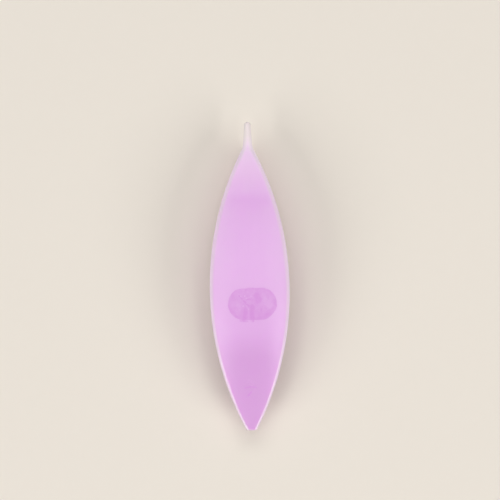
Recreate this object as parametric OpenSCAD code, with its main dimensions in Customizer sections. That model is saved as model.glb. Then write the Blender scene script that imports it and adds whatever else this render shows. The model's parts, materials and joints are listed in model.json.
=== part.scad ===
// Tatting shuttle: a front and a rear blade, both bowed, bonded to an oval winding post
// between them. The blades close on each other at the heel and at the pick.
// X runs along the shuttle towards the pick, Y across it, and Z from the rear blade to the front.
// The origin is the centre of the thread hole, which runs through the post along X.

/* [Blades] */
// Length of a blade from one flat end to the other, without the pick
blade_l = 58.2; // [50:0.2:70]
// Width of a blade at its widest point, half way along
blade_w = 16.4; // [14:0.2:20]
// Width of the flat end of a blade
end_w = 2.0; // [1.6:0.1:3]
// Thickness of a blade in its middle
blade_t = 1.3; // [1:0.05:1.8]
// Thickness of a blade at its flat ends
end_t = 1.0; // [0.8:0.05:1.3]
// Radius of the outer crown, across the blade
outer_crown_r = 30; // [20:1:60]
// Radius of the inner crown, across the blade
inner_crown_r = 45; // [30:1:90]

/* [Thread space] */
// Widest gap between the blades, in their middle
gap = 6.9; // [5.5:0.1:9]
// Length of the land on which the closed blades meet, at either end
land_l = 1.5; // [1:0.1:3]

/* [Pick] */
// Length of the pick beyond the blade's flat end
pick_l = 5.3; // [3:0.1:8]
// Width of the pick where it leaves the blade
pick_w = 1.9; // [1.4:0.1:2.2]
// Diameter of the pick's rounded tip
pick_tip_d = 1.3; // [0.8:0.05:1.4]

/* [Post] */
// Size of the oval post across the shuttle
post_w = 10.2; // [8.8:0.1:12]
// Size of the oval post along the shuttle
post_l = 6.8; // [4.5:0.1:8]
// How far the post's centre lies from the middle of the blades, towards the heel
post_setback = 3.0; // [0:0.1:5]
// How far the post was set to one side when it was bonded, towards -Y
post_side_shift = 0.5; // [-1:0.1:1]
// Diameter of the thread hole
thread_hole_d = 1.5; // [1:0.1:2.5]
// Thickness of the cement film at either end of the post
cement_t = 0.1; // [0.05:0.01:0.2]

/* [Hidden] */
$fn = 256;

sheer_lilac = [0.91, 0.72, 0.93, 0.8];
deep_lilac = [0.86, 0.63, 0.89];
cement_lilac = [0.80, 0.55, 0.84];

// How far a cutting or trimming solid runs past what it cuts
overrun = 1;

// The middle of the blades' outline, seen from the post
blade_mid = [post_setback, post_side_shift];

// Radius of the arc that rises by rise over half of its chord
function arc_radius(half_chord, rise) = (half_chord * half_chord + rise * rise) / (2 * rise);

// The outline's long sides are single arcs from flat end to flat end
side_r = arc_radius(blade_l / 2, (blade_w - end_w) / 2);

// Seen from the side, both faces of a blade are single arcs too. The outer one ends at the
// flat ends' thickness, the inner one on the plane where the blades meet.
inner_top = gap / 2;
outer_top = inner_top + blade_t;
outer_bow_r = arc_radius(blade_l / 2, outer_top - end_t);
inner_bow_r = arc_radius(blade_l / 2 - land_l, inner_top);

// The space under a face that is bowed along X and crowned across Y, its highest point at
// top above the middle of the blades. A drop shrinks it evenly, by that thickness.
module under_bow(top, bow_r, crown_r, drop = 0) {
    half_band = blade_w / 2 + overrun;
    translate([blade_mid.x, blade_mid.y, top - bow_r])
        rotate([90, 0, 0])
            rotate_extrude()
                intersection() {
                    translate([bow_r - crown_r, 0]) circle(r = crown_r - drop);
                    translate([bow_r / 2, -half_band]) square([bow_r, 2 * half_band]);
                }
}

module under_outer_face() {
    under_bow(outer_top, outer_bow_r, outer_crown_r);
}

module under_inner_face(drop = 0) {
    under_bow(inner_top, inner_bow_r, inner_crown_r, drop);
}

// The pointed outline of a blade, with its flat ends
module blade_outline() {
    translate(blade_mid)
        intersection() {
            translate([0, blade_w / 2 - side_r]) circle(r = side_r);
            translate([0, side_r - blade_w / 2]) circle(r = side_r);
            square([blade_l, blade_w + overrun], center = true);
        }
}

// One bowed blade above the plane where the blades meet
module bowed_blade() {
    difference() {
        intersection() {
            linear_extrude(outer_top + overrun) blade_outline();
            under_outer_face();
        }
        under_inner_face();
    }
}

// The pick: a slim round taper with a flat above and below, as thick as the blade's end.
// It is rooted in the land, behind the blade's flat end.
module pick() {
    root_l = land_l / 2;
    taper_l = pick_l - pick_tip_d / 2;
    reach = root_l + pick_l + overrun;
    translate([blade_mid.x + blade_l / 2, blade_mid.y, end_t / 2])
        intersection() {
            rotate([0, 90, 0]) {
                translate([0, 0, -root_l]) cylinder(h = root_l, d = pick_w);
                cylinder(h = taper_l, d1 = pick_w, d2 = pick_tip_d);
                translate([0, 0, taper_l]) sphere(d = pick_tip_d);
            }
            cube([2 * reach, 2 * pick_w, end_t], center = true);
        }
}

// The oval outline of the post, with full round ends
module post_outline() {
    flat_w = post_w - post_l;
    square([post_l, flat_w], center = true);
    for (side = [-1, 1])
        translate([0, side * flat_w / 2]) circle(d = post_l);
}

// The oval column that both ends of the post and both cement films are cut from
module post_column() {
    translate([0, 0, -outer_top]) linear_extrude(2 * outer_top) post_outline();
}

// The cement film between the front end of the post and the front blade's inner face
module cement_film() {
    difference() {
        intersection() {
            translate([0, 0, -overrun]) linear_extrude(outer_top + overrun) post_outline();
            under_inner_face();
        }
        under_inner_face(cement_t);
    }
}

module front_blade() {
    color(sheer_lilac) {
        bowed_blade();
        pick();
    }
}

module rear_blade() {
    color(sheer_lilac) mirror([0, 0, 1]) bowed_blade();
}

module post() {
    color(deep_lilac)
        difference() {
            intersection() {
                post_column();
                under_inner_face(cement_t);
                mirror([0, 0, 1]) under_inner_face(cement_t);
            }
            rotate([0, 90, 0]) cylinder(h = post_l + 2 * overrun, d = thread_hole_d, center = true);
        }
}

module front_cement() {
    color(cement_lilac) cement_film();
}

module rear_cement() {
    color(cement_lilac) mirror([0, 0, 1]) cement_film();
}

front_blade();
rear_blade();
post();
front_cement();
rear_cement();
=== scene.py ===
"""Tatting shuttle in milky lilac plastic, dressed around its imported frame.

The shuttle has two bowed blades, bonded to an oval winding post between them. X runs along it
towards the pick, Y across it and Z towards the front blade. Lengths are in metres.
"""

import json
import logging
import math
from dataclasses import dataclass
from enum import Enum

import bpy
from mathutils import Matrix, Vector


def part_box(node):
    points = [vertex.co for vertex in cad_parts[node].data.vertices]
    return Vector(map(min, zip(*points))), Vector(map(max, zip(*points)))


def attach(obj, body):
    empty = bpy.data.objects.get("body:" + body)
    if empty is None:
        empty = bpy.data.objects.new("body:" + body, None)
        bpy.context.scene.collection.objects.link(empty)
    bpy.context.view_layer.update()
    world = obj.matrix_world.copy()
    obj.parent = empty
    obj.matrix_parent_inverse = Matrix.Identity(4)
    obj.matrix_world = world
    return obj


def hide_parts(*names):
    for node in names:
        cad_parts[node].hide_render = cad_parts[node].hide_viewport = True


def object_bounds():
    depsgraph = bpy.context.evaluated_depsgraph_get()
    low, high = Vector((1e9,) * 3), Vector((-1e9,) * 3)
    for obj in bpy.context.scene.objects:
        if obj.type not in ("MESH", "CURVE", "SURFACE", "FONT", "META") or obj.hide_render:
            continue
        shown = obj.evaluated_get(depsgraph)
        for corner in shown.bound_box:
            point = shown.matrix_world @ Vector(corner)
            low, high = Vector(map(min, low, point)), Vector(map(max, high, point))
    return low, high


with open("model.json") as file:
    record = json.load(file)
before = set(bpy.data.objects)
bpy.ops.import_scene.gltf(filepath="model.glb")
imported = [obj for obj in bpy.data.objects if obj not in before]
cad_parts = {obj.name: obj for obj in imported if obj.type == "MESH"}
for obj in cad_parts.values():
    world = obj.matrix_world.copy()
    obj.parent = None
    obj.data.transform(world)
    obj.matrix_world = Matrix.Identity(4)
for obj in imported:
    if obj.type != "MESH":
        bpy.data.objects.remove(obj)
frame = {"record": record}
CAD_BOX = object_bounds()

MM = 0.001
# A length that counts as none
TINY = 1e-6
QUARTER = math.pi / 2
BODY = "root"

log = logging.getLogger("tatting_shuttle")

Number = "float | Value"
Pair = tuple[float, float]
Colour = tuple[float, float, float]
Socket = bpy.types.NodeSocket

# How far red, green and blue light spread inside the plastic, next to each other
GLOW_SPREAD: Colour = (1.0, 0.9, 1.0)
# The post is thicker than a blade, so its plastic is deeper
POST_BODY: Colour = (0.74, 0.39, 0.78)
POST_CLOUDY: Colour = (0.77, 0.42, 0.81)


class Value:
    """A number inside a node tree, so that a rule reads as plain arithmetic."""

    def __init__(self, tree: bpy.types.NodeTree, source: "Socket | float") -> None:
        """Wraps a socket, or a plain number.

        Args:
            tree: The node tree that new nodes go into.
            source: An output socket of the tree, or a number.
        """
        self.tree = tree
        self.source = source

    def maths(self, operation: str, *others: Number) -> "Value":
        """Applies one of the Math node's operations.

        Args:
            operation: The operation's name, such as MULTIPLY.
            *others: Its second and third operands.

        Returns:
            The result, as a new value.
        """
        node = self.tree.nodes.new("ShaderNodeMath")
        node.operation = operation
        for socket, value in zip(node.inputs, (self, *others)):
            plug(self.tree, socket, value)
        return Value(self.tree, node.outputs[0])

    def __add__(self, other: Number) -> "Value":
        """Sum."""
        return self.maths("ADD", other)

    def __sub__(self, other: Number) -> "Value":
        """Difference."""
        return self.maths("SUBTRACT", other)

    def __rsub__(self, other: float) -> "Value":
        """Difference from a plain number."""
        return Value(self.tree, other).maths("SUBTRACT", self)

    def __mul__(self, other: Number) -> "Value":
        """Product."""
        return self.maths("MULTIPLY", other)

    def __truediv__(self, other: Number) -> "Value":
        """Quotient."""
        return self.maths("DIVIDE", other)

    __radd__ = __add__
    __rmul__ = __mul__

    def sqrt(self) -> "Value":
        """Square root."""
        return self.maths("SQRT")

    def sin(self) -> "Value":
        """Sine of an angle in radians."""
        return self.maths("SINE")

    def cos(self) -> "Value":
        """Cosine of an angle in radians."""
        return self.maths("COSINE")

    def abs(self) -> "Value":
        """Size without its sign."""
        return self.maths("ABSOLUTE")

    def least(self, other: Number) -> "Value":
        """The smaller of two values."""
        return self.maths("MINIMUM", other)

    def most(self, other: Number) -> "Value":
        """The larger of two values."""
        return self.maths("MAXIMUM", other)

    def soft_most(self, other: Number, blend: Number) -> "Value":
        """The larger of two values, with the corner between them rounded."""
        return self.maths("SMOOTH_MAX", other, blend)

    def ramp(
        self, start: Number, end: Number, low: Number = 0, high: Number = 1, eased: bool = False
    ) -> "Value":
        """Goes from low to high as this value goes from start to end, and stays level outside.

        Args:
            start: Where the ramp begins.
            end: Where it ends.
            low: The result before start.
            high: The result after end.
            eased: Whether it starts and stops gently.

        Returns:
            The ramp, as a new value.
        """
        node = self.tree.nodes.new("ShaderNodeMapRange")
        node.interpolation_type = "SMOOTHSTEP" if eased else "LINEAR"
        for name, value in zip(
            ("Value", "From Min", "From Max", "To Min", "To Max"), (self, start, end, low, high)
        ):
            plug(self.tree, node.inputs[name], value)
        return Value(self.tree, node.outputs["Result"])


def plug(tree: bpy.types.NodeTree, socket: Socket, value: object) -> None:
    """Links or writes a value into an input socket.

    Args:
        tree: The node tree that the socket is in.
        socket: The input.
        value: A Value, an output socket, or plain contents such as a number or a colour.
    """
    source = value.source if isinstance(value, Value) else value
    if isinstance(source, Socket):
        tree.links.new(source, socket)
    else:
        socket.default_value = source


def length_of(across: Value, along: Value) -> Value:
    """Length of a line that goes so far across and so far along."""
    return (across * across + along * along).sqrt()


def rounding(short: Value, radius: Number) -> Value:
    """How far a corner of that radius has drawn in, where the face is this short of its end."""
    return radius - (radius * radius - short * short).sqrt()


def inputs_of(form: object) -> dict[str, float]:
    """Lists a dataclass's measures under their names as inputs of a recipe.

    Args:
        form: The dataclass object.

    Returns:
        Each float by its field's name, such as End Width for end_width.
    """
    return {
        name.replace("_", " ").title(): value
        for name, value in vars(form).items()
        if isinstance(value, float)
    }


class Facing(Enum):
    """Which way a blade or a cement film faces, along Z."""

    FRONT = 1.0
    REAR = -1.0


class Wiring:
    """A node tree in the making."""

    tree: bpy.types.NodeTree

    def node(self, kind: str, **contents: object) -> bpy.types.Node:
        """Adds a node and fills it.

        Args:
            kind: The node's type.
            **contents: Its own settings, whose names are in small letters, and what goes into
                its inputs, by name with _ for a space.

        Returns:
            The new node.
        """
        made = self.tree.nodes.new(kind)
        for key, value in contents.items():
            if key.islower():
                setattr(made, key, value)
            else:
                plug(self.tree, made.inputs[key.replace("_", " ")], value)
        return made


class Recipe(Wiring):
    """A Geometry Nodes tree with named inputs, which makes one closed mesh."""

    WELD = 2e-7

    def __init__(self, name: str, sizes: dict[str, float]) -> None:
        """Makes the tree and its inputs.

        Args:
            name: The tree's name.
            sizes: What each named input is set to.
        """
        self.tree = bpy.data.node_groups.new(name, "GeometryNodeTree")
        self.sizes = sizes
        panel = self.tree.interface
        panel.new_socket("Geometry", in_out="OUTPUT", socket_type="NodeSocketGeometry")
        kinds = dict.fromkeys(sizes, "NodeSocketFloat") | {"Material": "NodeSocketMaterial"}
        self.inputs = {
            key: panel.new_socket(key, in_out="INPUT", socket_type=kind)
            for key, kind in kinds.items()
        }
        self.group_in = self.node("NodeGroupInput")

    def size(self, key: str) -> Value:
        """One of the named inputs, as a value."""
        return Value(self.tree, self.group_in.outputs[key])

    def sweep(self, rings: int, points: int) -> tuple[Socket, Value, Value]:
        """Starts a skin: rings of points, which skin() then places and closes.

        Args:
            rings: Steps from the first ring to the last.
            points: Steps round each ring.

        Returns:
            The flat grid, and each point's place along the rings and round its ring.
        """
        counts = {"Vertices_X": rings + 1, "Vertices_Y": points + 1}
        grid = self.node("GeometryNodeMeshGrid", Size_X=1.0, Size_Y=1.0, **counts)
        place = self.node("GeometryNodeInputPosition").outputs[0]
        split = self.node("ShaderNodeSeparateXYZ", Vector=place)
        along = (Value(self.tree, split.outputs["X"]) + 0.5) * rings
        around = (Value(self.tree, split.outputs["Y"]) + 0.5) * points
        return grid.outputs["Mesh"], along, around

    def mark(self, geometry: Socket, name: str, value: Value) -> Socket:
        """Writes a number on every point of a mesh, under a name for the finish to read."""
        kind = "GeometryNodeStoreNamedAttribute"
        return self.node(kind, Geometry=geometry, Name=name, Value=value).outputs[0]

    def skin(self, geometry: Socket, x: Value, y: Value, z: Value, flip: bool = False) -> Socket:
        """Puts every point in its place and welds the skin shut.

        Args:
            geometry: The grid of points.
            x: Place of each point along X.
            y: Place along Y.
            z: Place along Z.
            flip: Whether the faces have to be turned over to point outwards.

        Returns:
            The closed mesh.
        """
        place = self.node("ShaderNodeCombineXYZ", X=x, Y=y, Z=z).outputs[0]
        moved = self.node("GeometryNodeSetPosition", Geometry=geometry, Position=place).outputs[0]
        welder = self.node("GeometryNodeMergeByDistance", Geometry=moved, Distance=self.WELD)
        welded = welder.outputs[0]
        return self.node("GeometryNodeFlipFaces", Mesh=welded).outputs[0] if flip else welded

    def noise(self, x: Value, y: Value, scale: Value, seed: Value) -> Value:
        """A wandering number between 0 and 1.

        Args:
            x: Place along X.
            y: Place along Y.
            scale: Waves per metre.
            seed: Picks one pattern out of many.

        Returns:
            The pattern.
        """
        place = self.node("ShaderNodeCombineXYZ", X=x, Y=y).outputs[0]
        made = self.node(
            "ShaderNodeTexNoise",
            noise_dimensions="4D",
            Vector=place,
            W=seed,
            Scale=scale,
            Detail=1.0,
        )
        return Value(self.tree, made.outputs[0])

    def make(self, name: str, geometry: Socket, material: bpy.types.Material) -> bpy.types.Object:
        """Ends the tree, runs it and turns the result into a plain mesh.

        Args:
            name: The piece's name.
            geometry: The finished mesh in the tree.
            material: The finish that the whole piece takes.

        Returns:
            The finished object, at the origin, with no modifiers.
        """
        real = self.node("GeometryNodeRealizeInstances", Geometry=geometry).outputs[0]
        smooth = self.node("GeometryNodeSetShadeSmooth", Geometry=real).outputs[0]
        finish = self.group_in.outputs["Material"]
        dressed = self.node("GeometryNodeSetMaterial", Geometry=smooth, Material=finish)
        self.node("NodeGroupOutput", Geometry=dressed.outputs[0])

        maker = show(name + "_maker", bpy.data.meshes.new(name + "_maker"))
        modifier = maker.modifiers.new("shape", "NODES")
        modifier.node_group = self.tree
        for key, value in (self.sizes | {"Material": material}).items():
            modifier[self.inputs[key].identifier] = value
        shown = maker.evaluated_get(bpy.context.evaluated_depsgraph_get())
        mesh = bpy.data.meshes.new_from_object(shown)
        mesh.name = name
        bpy.data.objects.remove(maker)
        return show(name, mesh)


def show(name: str, data: bpy.types.ID) -> bpy.types.Object:
    """Puts a new object into the scene.

    Args:
        name: The object's name.
        data: Its mesh, light or camera.

    Returns:
        The object.
    """
    made = bpy.data.objects.new(name, data)
    bpy.context.scene.collection.objects.link(made)
    return made


def hand_over(piece: bpy.types.Object, node: str, slot: str) -> None:
    """Lets a finished piece stand for its node, and reports it.

    Args:
        piece: The finished piece.
        node: The frame node that it replaces.
        slot: The name of a material slot, which is only reported.
    """
    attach(piece, BODY)
    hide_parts(node)
    log.info("%s: %d points, %s", piece.name, len(piece.data.vertices), slot)


@dataclass(frozen=True)
class BladeForm:
    """The form that both blades share, and that the post and the cement fit against."""

    thickness: float = 1.3 * MM
    end_thickness: float = 1.0 * MM
    end_width: float = 2.0 * MM
    outer_crown: float = 30.0 * MM
    inner_crown: float = 45.0 * MM
    land: float = 1.5 * MM
    tip_gap: float = 0.008 * MM

    def sizes(self) -> dict[str, float]:
        """Lists the form's sizes, with those of the plain rear blade's box.

        Returns:
            Each size by its input's name.
        """
        low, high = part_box("rear_blade")
        return inputs_of(self) | {
            "Length": high.x - low.x,
            "Width": high.y - low.y,
            "Height": -low.z,
            "Middle X": (low.x + high.x) / 2,
            "Middle Y": (low.y + high.y) / 2,
        }

    @staticmethod
    def bow(x: Value, y: Value, top: Value, crown: Value, reach: Value, end: Value) -> Value:
        """Height of a face that is bowed along X and crowned across Y.

        Args:
            x: Place along the blade, from its middle.
            y: Place across the blade, from its middle.
            top: The face's height in the middle.
            crown: Radius of its crown.
            reach: How far from the middle it has come down to end.
            end: Its height there.

        Returns:
            The height above the plane where the blades meet.
        """
        drop = top - end
        bow_r = (reach * reach + drop * drop) / (drop * 2)
        ring = bow_r - crown + (crown * crown - y * y).sqrt()
        return top - bow_r + (ring * ring - x * x).sqrt()

    @classmethod
    def outer_face(cls, r: Recipe, x: Value, y: Value) -> Value:
        """Height of a blade's outer face over a place measured from the blade's middle."""
        top, crown, end = (r.size(key) for key in ("Height", "Outer Crown", "End Thickness"))
        return cls.bow(x, y, top, crown, r.size("Length") / 2, end)

    @classmethod
    def inner_face(cls, r: Recipe, x: Value, y: Value) -> Value:
        """Height of a blade's inner face over a place measured from the blade's middle."""
        top, reach = r.size("Height") - r.size("Thickness"), r.size("Length") / 2 - r.size("Land")
        return cls.bow(x, y, top, r.size("Inner Crown"), reach, r.size("Tip Gap"))


@dataclass(frozen=True)
class Blade:
    """One bowed, pointed blade, with the pick in one piece where it has one.

    What starts or is full "from" a place is told in halves of the blade, from -1 at the heel.
    """

    node: str
    facing: Facing
    form: BladeForm

    # Steps along the blade and the pick, and over a face, a corner and a side of the section
    blade_steps: int = 320
    pick_steps: int = 60
    face_steps: int = 48
    corner_steps: int = 12
    wall_steps: int = 2

    # The rounding of the rims, a share of it at the heel, and the rounding of the ends
    edge: float = 1.1 * MM
    heel_edge: float = 0.55
    edge_grows_from: float = -0.85
    edge_full_from: float = -0.4
    end_round: float = 0.28 * MM
    flat_share: float = 0.45

    # The pick, how fast its root narrows and sinks inside the blade, and the blends between them
    pick_root: float = 1.9 * MM
    pick_tip: float = 1.3 * MM
    tip_share: float = 0.499
    root_narrowing: float = 0.35
    root_sinking: float = 0.6
    side_blend: float = 0.5 * MM
    top_blend: float = 0.3 * MM
    land_blend: float = 0.05 * MM
    # How far a missing pick is kept below the blade's own form, to have no part in it
    missing_drop: float = 10.0 * MM

    # Where the finish pales: the rims, narrower at the heel and the flat ends, thin plastic with
    # painted highlight and glow; and the pick, thin plastic with a painted highlight
    rim_band: float = 1.1 * MM
    heel_band: float = 0.6
    band_grows_from: float = -0.7
    band_full_from: float = 0.3
    band_solid: float = 0.4
    band_at_ends: float = 0.35
    tint_before: float = 1.0 * MM
    tint_past: float = 2.5 * MM

    # The round mark where the mould was filled
    gate_x: float = -16.7 * MM
    gate_y: float = 0.74 * MM
    gate_dish: float = 1.0 * MM
    gate_nub: float = 0.4 * MM
    gate_depth: float = 0.05 * MM
    dish_flat: float = 0.7
    nub_flat: float = 0.4
    nub_height: float = 0.8

    def sizes(self) -> dict[str, float]:
        """Lists the blade's sizes, with its pick's length from the frame.

        Returns:
            Each size by its input's name.
        """
        pick_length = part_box(self.node)[1].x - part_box("rear_blade")[1].x
        own = {"Facing": self.facing.value, "Pick Length": pick_length}
        return self.form.sizes() | inputs_of(self) | own

    def build(self, material: bpy.types.Material) -> None:
        """Sweeps a rounded section along the blade and puts it in the place of its node.

        The outline, both bows, both crowns and the rounded rims are arcs in closed form.

        Args:
            material: The blade's finish.
        """
        across, corner, wall = self.face_steps, self.corner_steps, self.wall_steps
        side = 2 * corner + wall
        points = 2 * (across + side)
        stations = self.blade_steps + (self.pick_steps if self.facing is Facing.FRONT else 1)

        r = Recipe(self.node + "_shape", self.sizes())
        size = r.size
        # The first and the last station are closed to a point, to cap the ends
        grid, ring, point = r.sweep(stations + 2, points)
        station = ring - 1
        opened = station.ramp(-1, 0) * station.ramp(stations, stations + 1, 1, 0)

        # Along the blade, close together at its ends
        half_length = size("Length") / 2
        on_blade = station.ramp(0, self.blade_steps, 0, math.pi).cos() * half_length
        on_pick = 1 - station.ramp(self.blade_steps, stations, 0, math.pi).cos()
        x = on_pick * size("Pick Length") / 2 - on_blade
        past_blade = (x - half_length).most(0)
        before_end = (half_length - x).most(0)

        def from_heel(grows_from: str, full_from: str, at_heel: str) -> Value:
            """Goes from the heel's share to 1, between two places told in halves of the blade."""
            start, end = half_length * size(grows_from), half_length * size(full_from)
            return x.ramp(start, end, size(at_heel), 1)

        # Half of the width: the outline's arc, joined softly to the pick's taper
        rise = (size("Width") - size("End Width")) / 2
        outline_r = (half_length * half_length + rise * rise) / (rise * 2)
        blade_half = (outline_r * outline_r - x * x).sqrt() - outline_r + size("Width") / 2
        taper = (size("Pick Root") - size("Pick Tip")) / 2
        share = past_blade / size("Pick Length").most(TINY)
        pick_half = size("Pick Root") / 2 - taper * share - before_end * size("Root Narrowing")
        has_pick = size("Pick Length").maths("GREATER_THAN", TINY)
        missing = (1 - has_pick) * size("Missing Drop")
        full_half = blade_half.soft_most(pick_half * has_pick - missing, size("Side Blend"))

        # The ends are rounded: the section gets this much narrower and thinner as it nears one
        near_end = (x + half_length).least(half_length + size("Pick Length") - x)
        at_tip = x.ramp(0, half_length)
        plain_round = size("End Round")
        tip_round = size("Pick Tip") * size("Tip Share") * has_pick + plain_round * (1 - has_pick)
        end_round = plain_round + (tip_round - plain_round) * at_tip
        flat_round = end_round.least(size("End Thickness") * size("Flat Share"))
        inset = rounding((end_round - near_end).most(0), end_round)
        sink = rounding((flat_round - near_end).most(0), flat_round)

        # Round the section: across for the faces, depth from outer to inner, turn for the rims
        m = point.ramp(0, across, -1, 1) + point.ramp(across + side, points - side, 0, -2)
        n = point.ramp(across + corner, across + corner + wall, 1, -1) + point.ramp(
            points - corner - wall, points - corner, 0, 2
        )
        turn = QUARTER + sum(
            point.ramp(start, start + corner, 0, -QUARTER)
            for start in (across, across + corner + wall, points - side, points - corner)
        )
        half = full_half - inset
        edge = size("Edge") * from_heel("Edge Grows From", "Edge Full From", "Heel Edge")
        rim = edge.least(half)
        y = m * (half - rim) + turn.cos() * rim

        pick_top = size("End Thickness") * has_pick - before_end * size("Root Sinking")
        outer = self.form.outer_face(r, x, y).soft_most(pick_top - missing, size("Top Blend"))
        outer = outer - sink - self.gate_mark(r, x, y)
        inner = self.form.inner_face(r, x, y).soft_most(size("Tip Gap"), size("Land Blend")) + sink
        thick = outer - inner
        rim_z = rim.least(thick / 2)
        z = (outer + inner) / 2 + n * (thick / 2 - rim_z) + turn.sin() * rim_z
        middle_z = (size("End Thickness") + size("Tip Gap")) / 2

        # For the finish: how near the rim, how far to the side and how far up the pick, which set
        # where the painted highlights and sheen fall
        inside = (full_half - y.abs()).least(near_end + size("Rim Band") * size("Band At Ends"))
        band = size("Rim Band") * from_heel("Band Grows From", "Band Full From", "Heel Band")
        pick_tint = x.ramp(half_length - size("Tint Before"), half_length + size("Tint Past"))
        grid = r.mark(grid, "rim", inside.ramp(band * size("Band Solid"), band, 1, 0, eased=True))
        grid = r.mark(grid, "side", y.abs() / full_half)
        grid = r.mark(grid, "pick", pick_tint)
        skin = r.skin(
            grid,
            x + size("Middle X"),
            y * opened + size("Middle Y"),
            (middle_z + (z - middle_z) * opened) * size("Facing"),
            flip=self.facing is Facing.REAR,
        )
        hand_over(r.make("dressed_" + self.node, skin, material), self.node, "blade_plastic")

    @staticmethod
    def gate_mark(r: Recipe, x: Value, y: Value) -> Value:
        """Depth of the shallow round dish, with a low nub, where the mould was filled.

        Args:
            r: The blade's recipe.
            x: Place along the blade, from its middle.
            y: Place across it.

        Returns:
            How far the outer face lies below its arcs.
        """
        along = x + r.size("Middle X") - r.size("Gate X")
        away = length_of(along, y + r.size("Middle Y") - r.size("Gate Y"))
        dish_r, nub_r = r.size("Gate Dish"), r.size("Gate Nub")
        dish = away.ramp(dish_r * r.size("Dish Flat"), dish_r, 1, 0, eased=True)
        nub = away.ramp(nub_r * r.size("Nub Flat"), nub_r, r.size("Nub Height"), 0, eased=True)
        return (dish - nub) * r.size("Gate Depth")


@dataclass(frozen=True)
class Oval:
    """The oval of the post: a straight middle across the shuttle, with full round ends."""

    oval_x: float
    oval_y: float
    round_radius: float
    half_flat: float
    flat_steps: int = 24
    arc_steps: int = 40

    @classmethod
    def of_node(cls, node: str) -> "Oval":
        """Reads the oval from a frame node's box.

        Args:
            node: The frame node.

        Returns:
            Its oval.
        """
        low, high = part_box(node)
        round_r = (high.x - low.x) / 2
        return cls(
            (low.x + high.x) / 2, (low.y + high.y) / 2, round_r, (high.y - low.y) / 2 - round_r
        )

    @property
    def steps(self) -> int:
        """Steps all the way round."""
        return 2 * (self.flat_steps + self.arc_steps)

    def outline(self, r: Recipe, step: Value) -> tuple[Value, Value, Value]:
        """Follows the oval, from the low end of its pick side.

        Args:
            r: The recipe that holds the oval's sizes.
            step: Steps along the outline.

        Returns:
            Where the round's centre lies across the shuttle, and the outline's direction
            outwards along X and across Y.
        """
        first, second = self.flat_steps, self.flat_steps + self.arc_steps
        third = second + self.flat_steps
        angle = step.ramp(first, second, 0, math.pi) + step.ramp(third, self.steps, 0, math.pi)
        share = step.ramp(0, first, -1, 1) - step.ramp(second, third, 0, 2)
        return share * r.size("Half Flat"), angle.cos(), angle.sin()

    def outside(self, x: Value, y: Value) -> Value:
        """How far a place lies outside the oval; negative inside it."""
        past_flat = ((y - self.oval_y).abs() - self.half_flat).most(0)
        return length_of(x - self.oval_x, past_flat) - self.round_radius


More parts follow.
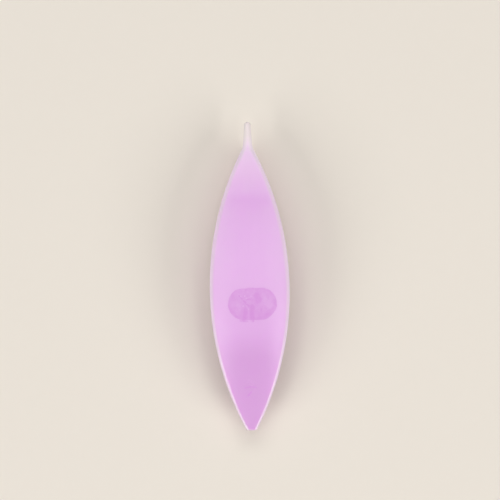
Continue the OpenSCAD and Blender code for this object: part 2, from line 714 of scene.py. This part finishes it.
@dataclass(frozen=True)
class WindingPost:
    """The oval post that the thread is wound on, with the thread hole through it."""

    oval: Oval
    form: BladeForm
    film: float = 0.1 * MM
    end_round: float = 0.12 * MM
    mouth_round: float = 0.25 * MM
    clearance: float = 0.004 * MM

    # Steps over an end face, its rounded edge and the wall, and along and round the hole
    face_steps: int = 12
    corner_steps: int = 5
    wall_steps: int = 30
    hole_steps: int = 120
    hole_points: int = 64

    # The share of the mouth's rounding that is an arc, and how far the boring tool runs past
    flare_end: float = 0.97
    overrun: float = 0.1 * MM

    def sizes(self) -> dict[str, float]:
        """Lists the post's sizes; the hole's are those of its mount.

        Returns:
            Each size by its input's name.
        """
        mounts = frame["record"]["mounts"]
        hole = next(mount for mount in mounts if mount["name"] == "thread_hole")
        return self.form.sizes() | inputs_of(self.oval) | {
            "Film": self.film + self.clearance,
            "End Round": self.end_round,
            "Hole Radius": hole["dims"]["r_mm"] * MM,
            "Mouth Round": self.mouth_round,
        }

    def build(self, material: bpy.types.Material) -> None:
        """Makes the column, bores the thread hole and puts it in the place of its node.

        Args:
            material: The post's finish.
        """
        r = Recipe("winding_post_shape", self.sizes())
        bored = r.node(
            "GeometryNodeMeshBoolean",
            operation="DIFFERENCE",
            solver="EXACT",
            Mesh_1=self.column(r),
            Mesh_2=self.hole(r),
        )
        piece = r.make("dressed_post", bored.outputs["Mesh"], material)
        hand_over(piece, "post", "post_plastic")

    def column(self, r: Recipe) -> Socket:
        """Makes the oval column, with slightly rounded ends that fit inside the blades.

        Args:
            r: The post's recipe.

        Returns:
            The column's closed mesh.
        """
        face, corner = self.face_steps, self.corner_steps
        steps = 2 * (face + corner) + self.wall_steps
        size = r.size
        grid, step, around = r.sweep(steps, self.oval.steps)
        centre_y, out_x, out_y = self.oval.outline(r, around)
        spread = step.ramp(0, face) - step.ramp(steps - face, steps)
        turn = step.ramp(face, face + corner, -QUARTER, 0) + step.ramp(
            steps - face - corner, steps - face, 0, QUARTER
        )
        side = step.ramp(face + corner, steps - face - corner, -1, 1)
        round_r = size("Round Radius") - size("End Round")
        swell = size("End Round") * turn.cos()
        x = out_x * (round_r * spread + swell) + size("Oval X")
        y = centre_y * spread + out_y * (round_r * spread + swell) + size("Oval Y")
        ceiling = self.form.inner_face(r, x - size("Middle X"), y - size("Middle Y"))
        z = side * (ceiling - size("Film") - size("End Round")) + turn.sin() * size("End Round")
        return r.skin(grid, x, y, z, flip=True)

    def hole(self, r: Recipe) -> Socket:
        """Makes the tool that bores the thread hole, flared to round the hole's two mouths.

        Args:
            r: The post's recipe.

        Returns:
            The tool's closed mesh.
        """
        steps, points, flare_end, size = self.hole_steps, self.hole_points, self.flare_end, r.size
        grid, ring, around = r.sweep(steps + 2, points)
        opened = ring.ramp(0, 1) * ring.ramp(steps + 1, steps + 2, 1, 0)
        reach = size("Round Radius") + self.overrun
        x = (ring - 1).ramp(0, steps, 0, math.pi).cos() * reach
        depth = size("Round Radius") - x.abs()
        mouth = size("Mouth Round")
        flare = rounding((mouth - depth).most(0).least(mouth * flare_end), mouth)
        steep = flare_end / math.sqrt(1 - flare_end**2)
        past_flare = (mouth * (1 - flare_end) - depth).most(0) * steep
        radius = (size("Hole Radius") + flare + past_flare) * opened
        angle = around.ramp(0, points, 0, 2 * math.pi)
        return r.skin(
            grid,
            x + size("Oval X"),
            angle.cos() * radius + size("Oval Y"),
            angle.sin() * radius,
        )


@dataclass(frozen=True)
class CementFilm:
    """Solvent cement between the post and one blade, with the bead that was squeezed out."""

    node: str
    facing: Facing
    oval: Oval
    form: BladeForm
    seed: float
    film: float = 0.1 * MM
    clearance: float = 0.004 * MM

    # The bead at its widest, how often it wanders, its least share and its height for its width
    bead: float = 0.3 * MM
    bead_scale: float = 420.0
    least_bead: float = 0.25
    wander_low: float = 0.3
    wander_high: float = 0.7
    bead_height: float = 1.4

    # Steps over a face, the bead's arc and the wall
    face_steps: int = 14
    arc_steps: int = 10
    wall_steps: int = 2

    def build(self, material: bpy.types.Material) -> None:
        """Makes the film with its bead and puts it in the place of its node.

        Args:
            material: The cement's finish.
        """
        face, arc_end = self.face_steps, self.face_steps + self.arc_steps
        steps = face + arc_end + self.wall_steps
        own = inputs_of(self) | {"Facing": self.facing.value}
        r = Recipe(self.node + "_shape", self.form.sizes() | inputs_of(self.oval) | own)
        size = r.size
        grid, step, around = r.sweep(steps, self.oval.steps)
        centre_y, out_x, out_y = self.oval.outline(r, around)

        # How far the bead has run out, which wanders round the oval
        rim_x, rim_y = out_x * size("Round Radius"), centre_y + out_y * size("Round Radius")
        wander = r.noise(rim_x, rim_y, size("Bead Scale"), size("Seed"))
        swell = wander.ramp(size("Wander Low"), size("Wander High"), size("Least Bead"), 1)
        bead = size("Bead") * swell

        turn = step.ramp(face, arc_end, 0, QUARTER)
        spread = step.ramp(0, face) - step.ramp(steps - face, steps)
        run_out = bead * (1 - turn.sin()) * step.ramp(0, face) + size("Clearance")
        sink = bead * size("Bead Height") * (1 - turn.cos()) + size("Clearance")
        floor = size("Film") - size("Clearance")
        back = step.ramp(arc_end, arc_end + self.wall_steps)
        below = sink + (floor - sink) * back
        reach = (size("Round Radius") + run_out) * spread
        x = out_x * reach + size("Oval X")
        y = centre_y * spread + out_y * reach + size("Oval Y")
        ceiling = self.form.inner_face(r, x - size("Middle X"), y - size("Middle Y"))
        z = (ceiling - below) * size("Facing")
        skin = r.skin(grid, x, y, z, flip=self.facing is Facing.REAR)
        hand_over(r.make("dressed_" + self.node, skin, material), self.node, "cement")


class Finish(Wiring):
    """A material's node tree, with the few steps that the finishes share."""

    def __init__(self, name: str, seed: float = 0.0) -> None:
        """Makes the material and reads the piece's own coordinates.

        Args:
            name: The material's name.
            seed: Picks its patterns out of many.
        """
        self.material = bpy.data.materials.new(name)
        self.material.use_nodes = True
        self.seed = seed
        self.tree = self.material.node_tree
        self.shader = self.tree.nodes["Principled BSDF"]
        self.coordinates = self.node("ShaderNodeTexCoord").outputs["Object"]
        split = self.node("ShaderNodeSeparateXYZ", Vector=self.coordinates)
        self.x, self.y = (Value(self.tree, split.outputs[axis]) for axis in "XY")

    def attribute(self, name: str) -> Value:
        """Reads a number stored on the mesh under that name, or 0 where it has none."""
        node = self.node("ShaderNodeAttribute", attribute_name=name)
        return Value(self.tree, node.outputs["Fac"])

    def _scaled(self, size: float, stretch: tuple[float, float, float]) -> Socket:
        """The coordinates, in units of a pattern's size, stretched along each axis."""
        scale = [1 / (size * s) for s in stretch]
        return self.node("ShaderNodeMapping", Vector=self.coordinates, Scale=scale).outputs[0]

    def noise(
        self,
        size: float,
        stretch: tuple[float, float, float] = (1, 1, 1),
        detail: float = 2.0,
        swirl: float = 0.0,
    ) -> Value:
        """A cloudy pattern between 0 and 1.

        Args:
            size: The size of its blotches, in metres.
            stretch: How many times longer they are along each axis.
            detail: How much finer pattern lies in them.
            swirl: How much they are stirred.

        Returns:
            The pattern.
        """
        node = self.node(
            "ShaderNodeTexNoise",
            noise_dimensions="4D",
            Vector=self._scaled(size, stretch),
            W=self.seed,
            Scale=1.0,
            Detail=detail,
            Distortion=swirl,
        )
        return Value(self.tree, node.outputs[0])

    def grains(self, size: float) -> Value:
        """Distance to the nearest of many scattered points, in units of their spacing."""
        node = self.node("ShaderNodeTexVoronoi", Vector=self._scaled(size, (1, 1, 1)), Scale=1.0)
        return Value(self.tree, node.outputs["Distance"])

    def mix(self, share: Value, first: "Socket | Colour", second: "Socket | Colour") -> Socket:
        """Mixes two colours.

        Args:
            share: How much of the second colour, from 0 to 1.
            first: The first colour, as a socket or as red, green and blue.
            second: The second colour, in the same way.

        Returns:
            The mixed colour's socket.
        """
        node = self.node("ShaderNodeMix", data_type="RGBA")
        plug(self.tree, node.inputs[0], share)
        for socket, colour in zip((node.inputs[6], node.inputs[7]), (first, second)):
            plug(self.tree, socket, (*colour, 1.0) if isinstance(colour, tuple) else colour)
        return node.outputs[2]

    def bump(self, height: Value, depth: float) -> None:
        """Roughens the surface by a pattern from 0 to 1 that is this deep, in metres."""
        node = self.node("ShaderNodeBump", Strength=1.0, Distance=depth, Height=height)
        self.set(Normal=node.outputs[0])

    def set(self, **inputs: object) -> None:
        """Fills the shader's inputs, by name with _ for a space."""
        for key, value in inputs.items():
            plug(self.tree, self.shader.inputs[key.replace("_", " ")], value)


@dataclass(frozen=True)
class Smear:
    """One mark on a blade: a straight smear with round ends, darker or paler, in millimetres."""

    start: Pair
    end: Pair
    radius: float
    depth: float
    soft: float = 0.35

    def shade(self, finish: Finish) -> Value:
        """How much darker this mark makes each place.

        Args:
            finish: The finish that shows it.

        Returns:
            The mark's depth inside it, falling to 0 outside.
        """
        start_x, start_y = (c * MM for c in self.start)
        run_x, run_y = (self.end[0] * MM - start_x, self.end[1] * MM - start_y)
        along, across = finish.x - start_x, finish.y - start_y
        squared = max(run_x * run_x + run_y * run_y, TINY**2)
        share = ((along * run_x + across * run_y) / squared).most(0).least(1)
        away = length_of(along - share * run_x, across - share * run_y)
        radius, soft = self.radius * MM, self.soft * MM
        return away.ramp(radius - soft / 2, radius + soft / 2, self.depth, 0, eased=True)


@dataclass(frozen=True)
class BondMark:
    """The darker, patchy oval where the cement has wet a blade, with painted shade where the post
    blocks light behind it, and the blade's other marks.
    """

    oval: Oval
    smears: tuple[Smear, ...] = ()
    ground: float = 0.7

    # The oval's edge: how far in it lies, how far and how often it wanders, how soft it is
    inset: float = 0.1 * MM
    ragged: float = 0.45 * MM
    ragged_size: float = 1.5 * MM
    soft: float = 0.22 * MM

    # The darker line inside the edge, and the patches
    line_range: Pair = (-0.9 * MM, -0.1 * MM)
    line_depth: float = 0.12
    patch_size: float = 1.3 * MM
    patch_swirl: float = 1.4
    patch_range: Pair = (0.4, 0.6)
    patch_depth: float = 0.1

    def shade(self, finish: Finish) -> Value:
        """How dark the mark makes each place.

        Args:
            finish: The finish that shows it.

        Returns:
            The darkness, from 0 to about 1.
        """
        wander = (finish.noise(self.ragged_size, detail=3.0) - 0.5) * self.ragged
        edge = self.oval.outside(finish.x, finish.y) + wander + self.inset
        inside = edge.ramp(-self.soft / 2, self.soft / 2, 1, 0, eased=True)
        line = edge.ramp(*self.line_range, 0, self.line_depth)
        patches = finish.noise(self.patch_size, swirl=self.patch_swirl)
        patches = patches.ramp(*self.patch_range, -self.patch_depth, self.patch_depth)
        shade = inside * (patches + line + self.ground)
        for smear in self.smears:
            shade = shade + smear.shade(finish)
        return shade.most(0).least(1)


# What shows of the thread hole and of the cement's blotches and bubbles, seen through the
# front blade; the first two smears are painted shade in the thread hole. Places are in
# millimetres along and across the shuttle, from the hole's centre.
FRONT_SMEARS_AND_HOLE_SHADE = (
    Smear((-3.4, 0.0), (-0.5, 0.1), 0.42, 0.30),
    Smear((-3.6, -0.15), (-3.4, -0.1), 0.16, 0.45, 0.2),
    Smear((-3.3, 1.75), (-1.2, 1.35), 0.36, 0.26),
    Smear((-3.0, 0.75), (-1.1, 0.8), 0.12, -0.22, 0.2),
    Smear((-1.1, 0.8), (-0.4, 1.2), 0.12, -0.22, 0.2),
    Smear((1.7, -0.9), (0.7, -1.3), 0.62, 0.26),
    Smear((1.64, 2.67), (-0.43, 0.76), 0.14, 0.6, 0.16),
    Smear((1.2, 1.0), (1.5, 0.2), 0.12, -0.24, 0.2),
    Smear((0.9, 1.1), (0.9, 0.4), 0.14, 0.25, 0.2),
    Smear((-0.4, -3.6), (0.6, -2.6), 0.7, -0.14, 0.5),
    Smear((-0.4, 2.9), (-2.0, 2.9), 0.5, -0.16, 0.4),
    Smear((-1.0, -1.75), (-1.5, -1.8), 0.14, 0.25, 0.2),
    Smear((-2.4, -2.6), (-2.2, -3.4), 0.36, 0.22, 0.4),
    Smear((3.2, 3.0), (3.3, 1.3), 0.14, -0.5, 0.2),
    Smear((2.86, 1.4), (2.86, 1.1), 0.14, 0.22, 0.2),
    Smear((-1.7, -4.75), (-3.1, -3.6), 0.22, -0.7, 0.3),
    Smear((-3.45, 2.5), (-3.55, 1.1), 0.2, 0.5, 0.25),
)
BUBBLES = tuple(
    Smear(place, place, 0.13, -0.75, 0.12)
    for place in ((1.5, 2.35), (1.6, 1.55), (0.85, 1.9), (1.15, 1.2), (-0.42, 1.9), (0.1, 1.15))
)
# Faint scuffs beside the round mark near the heel, and a soft band of painted shade across the
# blade near the pick
BLADE_SCUFFS_AND_SHADE_BAND = (
    Smear((-17.3, 1.9), (-17.0, 0.6), 0.1, 0.75, 0.2),
    Smear((-17.0, 0.6), (-17.2, -0.6), 0.1, 0.75, 0.2),
    Smear((-18.9, 1.17), (-18.1, 0.45), 0.14, 0.9, 0.2),
    Smear((21.2, 3.4), (21.2, -2.8), 0.9, 0.24, 2.6),
)


@dataclass(frozen=True)
class MilkyLilac:
    """Lilac plastic as it comes out of the mould: milky inside, satin smooth outside."""

    name: str
    seed: float = 0.0

    body: Colour = (0.84, 0.505, 0.87)
    cloudy: Colour = (0.86, 0.53, 0.885)
    # Painted shade over the heel half, which turns away from the lights
    deep: Colour = (0.775, 0.435, 0.795)
    # The thinner sides, with painted sheen
    thin: Colour = (0.875, 0.6, 0.9)
    # The thinner pick end, with painted sheen where the face slopes towards the head light
    tip: Colour = (0.955, 0.68, 0.995)
    # The thin rims, with painted highlight and glow, paler still towards the pick end
    rim: Colour = (0.89, 0.71, 0.88)
    tip_rim_sheen: Colour = (0.95, 0.78, 0.95)
    # The thin pick, with a painted highlight
    pick: Colour = (0.84, 0.765, 0.765)
    # Where the cement wet the blade, with painted shade of the post behind it
    wetted: Colour = (0.775, 0.37, 0.81)

    # Where along the shuttle the sides begin to pale (thinner plastic and painted sheen), the heel
    # darkens (painted shade) and the tip lightens (thinner plastic and painted sheen)
    side_range: Pair = (-14.0 * MM, 10.0 * MM)
    least_side_sheen: float = 0.1
    heel_range: Pair = (-12.0 * MM, -4.0 * MM)
    tip_range: Pair = (19.5 * MM, 31.0 * MM)

    # Soft clouds, the streaks in which the plastic flowed, and the frost of its surface
    cloud_size: float = 7.0 * MM
    cloud_share: float = 0.7
    cloud_range: Pair = (0.3, 0.7)
    flow_size: float = 1.1 * MM
    flow_stretch: float = 14.0
    frost_size: float = 0.9 * MM
    frost_share: float = 0.5
    frost_height: float = 0.012 * MM

    roughness: float = 0.22
    roughness_spread: float = 0.12
    refraction: float = 1.49
    transmission: float = 0.12
    milkiness: float = 0.8
    glow_depth: float = 0.9 * MM

    def material(self, bond: BondMark | None = None) -> bpy.types.Material:
        """Builds the plastic.

        Args:
            bond: The mark that the cemented post leaves in it, or None.

        Returns:
            The material.
        """
        finish = Finish(self.name, self.seed)
        cloud = finish.noise(self.cloud_size, detail=3.0)
        flow = finish.noise(self.flow_size, stretch=(self.flow_stretch, 1, 1))
        side = finish.attribute("side")
        # Painted sheen on the thinner sides, strongest towards the pick end
        side_sheen_share = finish.x.ramp(*self.side_range, self.least_side_sheen)
        # Painted shade over the heel half
        heel_shading = finish.x.ramp(*self.heel_range, 1, 0, eased=True)
        # Painted sheen towards the pick end, over the thinner plastic there
        tip_sheen_share = finish.x.ramp(*self.tip_range)
        milk = cloud * self.cloud_share + flow * (1 - self.cloud_share)
        colour = finish.mix(milk.ramp(*self.cloud_range), self.body, self.cloudy)
        colour = finish.mix(heel_shading, colour, self.deep)
        colour = finish.mix(side * side * side_sheen_share, colour, self.thin)
        colour = finish.mix(tip_sheen_share, colour, self.tip)
        # The cement's wet oval, with painted shade of the post and its hole behind the blade
        if bond is not None:
            colour = finish.mix(bond.shade(finish), colour, self.wetted)
        # Paler rims: thin plastic, with painted highlight and glow
        rim = finish.mix(tip_sheen_share, self.rim, self.tip_rim_sheen)
        colour = finish.mix(finish.attribute("rim"), colour, rim)
        # The pale pick: thin plastic, with a painted highlight
        colour = finish.mix(finish.attribute("pick"), colour, self.pick)

        frost = finish.noise(self.frost_size, detail=4.0)
        relief = frost * self.frost_share + flow * (1 - self.frost_share)
        finish.set(
            Base_Color=colour,
            Roughness=(cloud - 0.5) * self.roughness_spread + self.roughness,
            IOR=self.refraction,
            Transmission_Weight=self.transmission,
            Subsurface_Weight=self.milkiness,
            Subsurface_Radius=GLOW_SPREAD,
            Subsurface_Scale=self.glow_depth,
        )
        finish.bump(relief, self.frost_height)
        return finish.material


@dataclass(frozen=True)
class SolventCement:
    """Clear solvent cement, dried glossy, with bubbles caught in it."""

    seed: float = 3.0
    clear: Colour = (0.84, 0.58, 0.87)
    thick: Colour = (0.74, 0.42, 0.78)
    bubble: Colour = (0.88, 0.72, 0.90)

    # The runs that it dried in, and the bubbles: their edge is in units of their spacing
    run_size: float = 0.8 * MM
    run_swirl: float = 0.8
    run_range: Pair = (0.35, 0.65)
    bubble_spacing: float = 0.35 * MM
    bubble_edge: Pair = (0.12, 0.2)
    bubble_paling: float = 0.6
    run_share: float = 0.6
    height: float = 0.006 * MM

    roughness: float = 0.12
    run_roughness: float = 0.1
    bubble_roughness: float = 0.15
    refraction: float = 1.46
    transmission: float = 0.2
    milkiness: float = 0.5
    glow_depth: float = 0.25 * MM

    def material(self) -> bpy.types.Material:
        """Builds the cement.

        Returns:
            The material.
        """
        finish = Finish("solvent_cement", self.seed)
        runs = finish.noise(self.run_size, swirl=self.run_swirl)
        bubbles = finish.grains(self.bubble_spacing).ramp(*self.bubble_edge, 1, 0)
        colour = finish.mix(runs.ramp(*self.run_range), self.clear, self.thick)
        rough = runs * self.run_roughness + bubbles * self.bubble_roughness + self.roughness
        finish.set(
            Base_Color=finish.mix(bubbles * self.bubble_paling, colour, self.bubble),
            Roughness=rough,
            IOR=self.refraction,
            Transmission_Weight=self.transmission,
            Subsurface_Weight=self.milkiness,
            Subsurface_Radius=GLOW_SPREAD,
            Subsurface_Scale=self.glow_depth,
        )
        finish.bump(runs * self.run_share + bubbles * (1 - self.run_share), self.height)
        return finish.material


@dataclass(frozen=True)
class Softbox:
    """A soft light that hangs over the shuttle and faces it."""

    name: str
    bearing_deg: float
    height_deg: float
    distance: float
    width: float
    depth: float
    glow: float

    def hang(self) -> None:
        """Adds the light. Its bearing is from the pick's end, turning to +Y; white is glow 1."""
        data = bpy.data.lights.new(self.name, "AREA")
        data.shape = "RECTANGLE"
        data.size, data.size_y = self.width, self.depth
        data.energy = self.glow * math.pi * self.width * self.depth
        light = show(self.name, data)
        bearing, height = math.radians(self.bearing_deg), math.radians(self.height_deg)
        flat, up = self.distance * math.cos(height), self.distance * math.sin(height)
        light.location = (flat * math.cos(bearing), flat * math.sin(bearing), up)
        light.rotation_euler = (QUARTER - height, 0, bearing + QUARTER)


@dataclass(frozen=True)
class Studio:
    """The floor, the soft lights and the camera above them."""

    floor_colour: Colour = (0.81, 0.75, 0.67)
    floor_reach: float = 1.0
    floor_grain: float = 2.0 * MM
    floor_shade: float = 0.985
    floor_roughness: float = 0.8
    air: float = 0.13
    # Each with its bearing and height in degrees, its distance, width and depth, and its glow
    softboxes: tuple[Softbox, ...] = (
        Softbox("overhead_light", 0, 83, 2.4, 2.7, 0.9, 1.6),
        Softbox("head_light", 0, 52, 1.8, 1.5, 0.66, 2.9),
        Softbox("left_rim_light", 126, 26, 1.5, 0.8, 0.6, 6.4),
        Softbox("right_rim_light", -126, 26, 1.5, 0.8, 0.6, 6.4),
        Softbox("left_side_light", 120, 58, 1.5, 0.5, 0.5, 2.4),
        Softbox("right_side_light", -120, 58, 1.5, 0.5, 0.5, 2.4),
    )
    photo_side_px: float = 500.0
    mm_per_px: float = 0.205
    blade_middle_px: Pair = (249.7, 289.1)
    lean_deg: float = 0.85
    camera_distance: float = 0.55
    sensor: float = 36.0
    rim_height: float = 3.1 * MM

    def build(self) -> None:
        """Sets up the whole studio."""
        bpy.context.scene.view_settings.view_transform = "Standard"
        self.camera()
        self.floor()
        self.world()
        for softbox in self.softboxes:
            softbox.hang()

    def camera(self) -> None:
        """Puts the camera straight above, turned and shifted to the photograph's framing."""
        low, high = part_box("rear_blade")
        middle = (low + high) / 2
        lean = math.radians(self.lean_deg)
        right = Vector((-math.sin(lean), -math.cos(lean), 0))
        up = Vector((math.cos(lean), -math.sin(lean), 0))
        px = self.mm_per_px * MM
        centre_px = self.photo_side_px / 2
        across = (centre_px - self.blade_middle_px[0]) * px
        along = (self.blade_middle_px[1] - centre_px) * px
        spot = middle + right * across + up * along
        data = bpy.data.cameras.new("photo_camera")
        data.sensor_width = self.sensor
        data.lens = self.sensor * self.camera_distance / (self.photo_side_px * px)
        camera = show("photo_camera", data)
        camera.location = (spot.x, spot.y, self.rim_height + self.camera_distance)
        camera.rotation_euler = (0, 0, -(QUARTER + lean))
        bpy.context.scene.camera = camera

    def world(self) -> None:
        """Even light from all round, with the floor's own shade for what looks past the floor."""
        world = bpy.data.worlds.new("studio_air")
        bpy.context.scene.world = world
        world.use_nodes = True
        tree = world.node_tree
        air = tree.nodes["Background"]
        air.inputs["Color"].default_value = (1.0, 1.0, 1.0, 1.0)
        air.inputs["Strength"].default_value = self.air
        seen = tree.nodes.new("ShaderNodeBackground")
        seen.inputs["Color"].default_value = (*self.floor_colour, 1.0)
        path = tree.nodes.new("ShaderNodeLightPath")
        rays = ("Is Camera Ray", "Is Glossy Ray", "Is Transmission Ray")
        camera, glossy, through = (Value(tree, path.outputs[ray]) for ray in rays)
        choice = tree.nodes.new("ShaderNodeMixShader")
        sources = ((camera + glossy + through).least(1), air.outputs[0], seen.outputs[0])
        for socket, source in zip(choice.inputs, sources):
            plug(tree, socket, source)
        plug(tree, tree.nodes["World Output"].inputs["Surface"], choice.outputs[0])

    def floor(self) -> None:
        """A plain pale sheet that the shuttle lies on."""
        reach, z = self.floor_reach, CAD_BOX[0].z
        mesh = bpy.data.meshes.new("floor")
        corners = [(-reach, -reach, z), (reach, -reach, z), (reach, reach, z), (-reach, reach, z)]
        mesh.from_pydata(corners, [], [(0, 1, 2, 3)])
        floor = show("floor", mesh)
        finish = Finish("pale_paper")
        grain = finish.noise(self.floor_grain, detail=4.0)
        shaded = tuple(c * self.floor_shade for c in self.floor_colour)
        colour = finish.mix(grain, self.floor_colour, shaded)
        finish.set(Base_Color=colour, Roughness=self.floor_roughness)
        mesh.materials.append(finish.material)


def main() -> None:
    """Sets up the studio, then builds the shuttle from its blades inwards."""
    logging.basicConfig(level=logging.INFO, format="%(name)s: %(message)s")
    Studio().build()
    form = BladeForm()
    oval = Oval.of_node("post")

    front_plastic = MilkyLilac("front_milky_lilac")
    rear_plastic = MilkyLilac("rear_milky_lilac", seed=1.0)
    front_bond = BondMark(oval, FRONT_SMEARS_AND_HOLE_SHADE + BUBBLES + BLADE_SCUFFS_AND_SHADE_BAND)
    Blade("front_blade", Facing.FRONT, form).build(front_plastic.material(front_bond))
    Blade("rear_blade", Facing.REAR, form).build(rear_plastic.material(BondMark(oval)))

    post_plastic = MilkyLilac("post_milky_lilac", seed=2.0, body=POST_BODY, cloudy=POST_CLOUDY)
    WindingPost(oval, form).build(post_plastic.material())
    cement = SolventCement().material()
    CementFilm("front_cement", Facing.FRONT, oval, form, seed=4.0).build(cement)
    CementFilm("rear_cement", Facing.REAR, oval, form, seed=5.0).build(cement)


if __name__ == "__main__":
    main()
